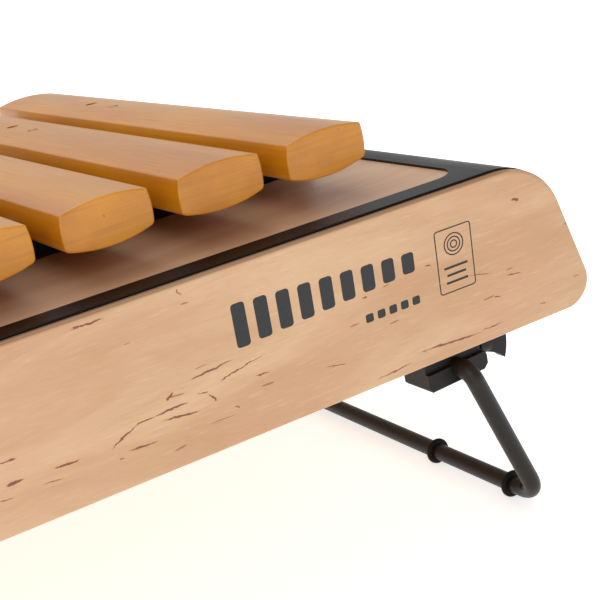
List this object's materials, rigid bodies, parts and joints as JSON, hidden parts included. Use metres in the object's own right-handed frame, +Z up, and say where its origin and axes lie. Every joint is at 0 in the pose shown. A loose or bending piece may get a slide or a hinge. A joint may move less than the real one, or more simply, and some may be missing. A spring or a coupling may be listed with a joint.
{
  "type": "marimba",
  "caption": "Table-top diatonic bar instrument: tuned wooden bars over an open resonator box on folding wire bails.",
  "frame": {"origin": "on the table, under the middle of the box's bounding box", "axes": "+X towards the long bars (bass end), -Y towards the printed front panel, +Z up"},
  "size_m": [0.8574, 0.4182, 0.218],
  "materials": {
    "bar_wood": "satin lacquer",
    "side_veneer": "satin lacquer, fine wavy grain with red-brown flecks",
    "deck_wood": "satin lacquer",
    "plywood": "raw",
    "black_laminate": "satin",
    "rail_black": "matte",
    "felt": "matte felt",
    "pin_steel": "brushed",
    "sleeve_rubber": "matte",
    "rod_black": "satin powder coat",
    "ring_rubber": "matte",
    "moulded_black": "matte moulded",
    "knob_black": "satin moulded",
    "stud_steel": "zinc plated",
    "screw_steel": "dark zinc"
  },
  "bodies": {
    "case": {"side_panel_front": "side_veneer", "side_panel_rear": "side_veneer", "body_shell": "black_laminate", "deck_panel": "deck_wood", "bottom_board": "plywood", "end_wall_bass": "plywood", "end_wall_treble": "plywood", "divider_bass": "plywood", "divider_treble": "plywood", "cleat_front": "plywood", "cleat_rear": "plywood", "rail_front": "rail_black", "rail_rear": "rail_black", "felt_front": "felt", "felt_rear": "felt", "rear_pins": "pin_steel", "rear_pin_sleeves": "sleeve_rubber", "front_pegs": "pin_steel", "front_peg_sleeves": "sleeve_rubber", "hinge_block_bass_front": "moulded_black", "hinge_block_bass_rear": "moulded_black", "hinge_block_treble_front": "moulded_black", "hinge_block_treble_rear": "moulded_black", "block_screws": "screw_steel"},
    "bail_bass": {"bail_bass": "rod_black", "bail_rings_bass": "ring_rubber"},
    "bail_treble": {"bail_treble": "rod_black", "bail_rings_treble": "ring_rubber"},
    "knob_bass_front": {"clamp_knob_bass_front": "knob_black", "knob_stud_bass_front": "stud_steel"},
    "knob_bass_rear": {"clamp_knob_bass_rear": "knob_black", "knob_stud_bass_rear": "stud_steel"},
    "knob_treble_front": {"clamp_knob_treble_front": "knob_black", "knob_stud_treble_front": "stud_steel"},
    "knob_treble_rear": {"clamp_knob_treble_rear": "knob_black", "knob_stud_treble_rear": "stud_steel"},
    "tone_bar_01": {"bar_01_c1": "bar_wood"},
    "tone_bar_02": {"bar_02_d1": "bar_wood"},
    "tone_bar_03": {"bar_03_e1": "bar_wood"},
    "tone_bar_04": {"bar_04_f1": "bar_wood"},
    "tone_bar_05": {"bar_05_g1": "bar_wood"},
    "tone_bar_06": {"bar_06_a1": "bar_wood"},
    "tone_bar_07": {"bar_07_b1": "bar_wood"},
    "tone_bar_08": {"bar_08_c2": "bar_wood"},
    "tone_bar_09": {"bar_09_d2": "bar_wood"},
    "tone_bar_10": {"bar_10_e2": "bar_wood"},
    "tone_bar_11": {"bar_11_f2": "bar_wood"},
    "tone_bar_12": {"bar_12_g2": "bar_wood"},
    "tone_bar_13": {"bar_13_a2": "bar_wood"}
  },
  "joints": [
    {"name": "bail_bass_fold", "type": "hinge", "parent": "case", "child": "bail_bass", "pos_m": [0.3597, 0, 0.08916], "axis": [0, 1, 0], "range_deg": [0, 110]},
    {"name": "bail_treble_fold", "type": "hinge", "parent": "case", "child": "bail_treble", "pos_m": [-0.3597, 0, 0.08916], "axis": [0, -1, 0], "range_deg": [0, 110]},
    {"name": "knob_bass_front_turn", "type": "hinge", "parent": "case", "child": "knob_bass_front", "pos_m": [0.3787, -0.17328, 0.09126], "axis": [1, 0, 0], "range_deg": [0, 360]},
    {"name": "knob_bass_rear_turn", "type": "hinge", "parent": "case", "child": "knob_bass_rear", "pos_m": [0.3787, 0.17328, 0.09126], "axis": [1, 0, 0], "range_deg": [0, 360]},
    {"name": "knob_treble_front_turn", "type": "hinge", "parent": "case", "child": "knob_treble_front", "pos_m": [-0.3787, -0.11932, 0.09126], "axis": [-1, 0, 0], "range_deg": [0, 360]},
    {"name": "knob_treble_rear_turn", "type": "hinge", "parent": "case", "child": "knob_treble_rear", "pos_m": [-0.3787, 0.11932, 0.09126], "axis": [-1, 0, 0], "range_deg": [0, 360]},
    {"name": "bar_01_lift", "type": "slide", "parent": "case", "child": "tone_bar_01", "axis": [0, 0, 1], "range_m": [0, 0.045]},
    {"name": "bar_02_lift", "type": "slide", "parent": "case", "child": "tone_bar_02", "axis": [0, 0, 1], "range_m": [0, 0.045]},
    {"name": "bar_03_lift", "type": "slide", "parent": "case", "child": "tone_bar_03", "axis": [0, 0, 1], "range_m": [0, 0.045]},
    {"name": "bar_04_lift", "type": "slide", "parent": "case", "child": "tone_bar_04", "axis": [0, 0, 1], "range_m": [0, 0.045]},
    {"name": "bar_05_lift", "type": "slide", "parent": "case", "child": "tone_bar_05", "axis": [0, 0, 1], "range_m": [0, 0.045]},
    {"name": "bar_06_lift", "type": "slide", "parent": "case", "child": "tone_bar_06", "axis": [0, 0, 1], "range_m": [0, 0.045]},
    {"name": "bar_07_lift", "type": "slide", "parent": "case", "child": "tone_bar_07", "axis": [0, 0, 1], "range_m": [0, 0.045]},
    {"name": "bar_08_lift", "type": "slide", "parent": "case", "child": "tone_bar_08", "axis": [0, 0, 1], "range_m": [0, 0.045]},
    {"name": "bar_09_lift", "type": "slide", "parent": "case", "child": "tone_bar_09", "axis": [0, 0, 1], "range_m": [0, 0.045]},
    {"name": "bar_10_lift", "type": "slide", "parent": "case", "child": "tone_bar_10", "axis": [0, 0, 1], "range_m": [0, 0.045]},
    {"name": "bar_11_lift", "type": "slide", "parent": "case", "child": "tone_bar_11", "axis": [0, 0, 1], "range_m": [0, 0.045]},
    {"name": "bar_12_lift", "type": "slide", "parent": "case", "child": "tone_bar_12", "axis": [0, 0, 1], "range_m": [0, 0.045]},
    {"name": "bar_13_lift", "type": "slide", "parent": "case", "child": "tone_bar_13", "axis": [0, 0, 1], "range_m": [0, 0.045]}
  ]
}
